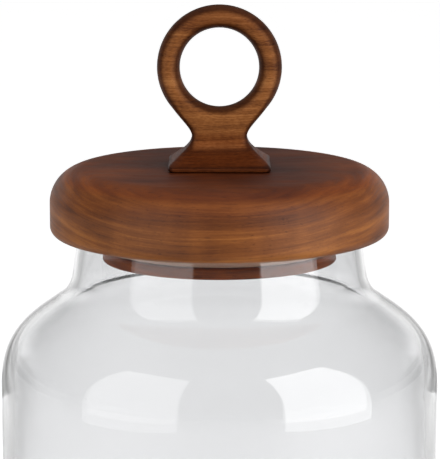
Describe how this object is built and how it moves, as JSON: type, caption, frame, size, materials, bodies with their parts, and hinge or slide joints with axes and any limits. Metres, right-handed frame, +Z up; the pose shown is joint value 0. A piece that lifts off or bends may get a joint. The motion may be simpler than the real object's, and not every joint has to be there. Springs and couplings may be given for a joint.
{
  "type": "storage jar",
  "caption": "Round glass storage jar with a sloping shoulder and neck, and a thick wooden lid with a plug, a silicone seal and a ring handle on a flared foot.",
  "frame": {"origin": "centre of the jar's base, on the plane it rests on", "axes": "+Z up along the axis of the jar and lid; +X and -X to the sides of the ring handle, whose open face looks along -Y and +Y"},
  "size_m": [0.12, 0.12, 0.2127],
  "materials": {
    "clear_glass": "clear, polished",
    "lid_wood": "oiled, satin",
    "plug_wood": "oiled, satin",
    "handle_wood": "oiled, satin",
    "silicone": "translucent, soft satin",
    "zinc_steel": "zinc plated"
  },
  "bodies": {
    "jar": {"glass_jar": "clear_glass"},
    "seal": {"seal_ring": "silicone"},
    "lid": {"lid_disc": "lid_wood", "lid_plug": "plug_wood", "ring_handle": "handle_wood", "handle_screw_left": "zinc_steel", "handle_screw_right": "zinc_steel"}
  },
  "joints": [
    {"name": "lid_lift", "type": "slide", "parent": "jar", "child": "seal", "axis": [0, 0, 1], "range_m": [0, 0.06]},
    {"name": "lid_turn", "type": "hinge", "parent": "seal", "child": "lid", "pos_m": [0, 0, 0.1503], "axis": [0, 0, 1], "continuous": true}
  ]
}
